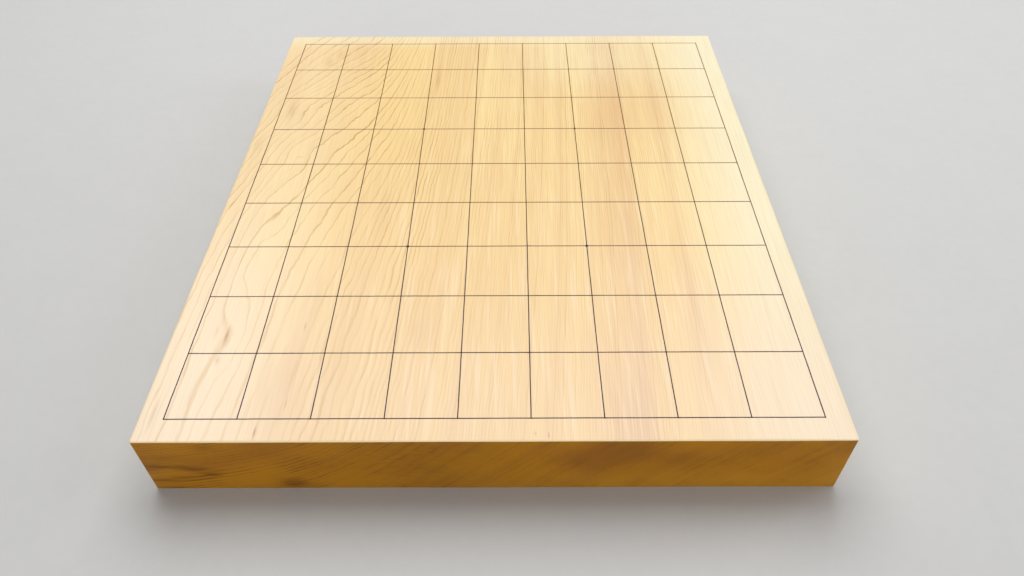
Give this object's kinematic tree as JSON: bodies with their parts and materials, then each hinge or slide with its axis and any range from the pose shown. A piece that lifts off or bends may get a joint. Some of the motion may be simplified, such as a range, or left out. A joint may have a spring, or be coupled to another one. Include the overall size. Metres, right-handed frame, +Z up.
{
  "type": "shogi board",
  "caption": "Solid wooden table board for shogi, with a square-ruled playing field of raised black lacquer lines and star points.",
  "frame": {"origin": "middle of the underside", "axes": "+X across the board to the near player's right, +Y from the near player to the far player, +Z up out of the playing field"},
  "size_m": [0.333, 0.364, 0.0428],
  "materials": {
    "wood": "planed and lightly waxed pale yellow conifer wood, satin, with amber end grain",
    "line_lacquer": "brown-black natural lacquer, soft gloss, slightly raised"
  },
  "bodies": {
    "root": {"board_block": "wood", "file_line_1": "line_lacquer", "file_line_2": "line_lacquer", "file_line_3": "line_lacquer", "file_line_4": "line_lacquer", "file_line_5": "line_lacquer", "file_line_6": "line_lacquer", "file_line_7": "line_lacquer", "file_line_8": "line_lacquer", "file_line_9": "line_lacquer", "file_line_10": "line_lacquer", "rank_line_1": "line_lacquer", "rank_line_2": "line_lacquer", "rank_line_3": "line_lacquer", "rank_line_4": "line_lacquer", "rank_line_5": "line_lacquer", "rank_line_6": "line_lacquer", "rank_line_7": "line_lacquer", "rank_line_8": "line_lacquer", "rank_line_9": "line_lacquer", "rank_line_10": "line_lacquer", "star_point_near_left": "line_lacquer", "star_point_near_right": "line_lacquer", "star_point_far_left": "line_lacquer", "star_point_far_right": "line_lacquer"}
  },
  "joints": []
}
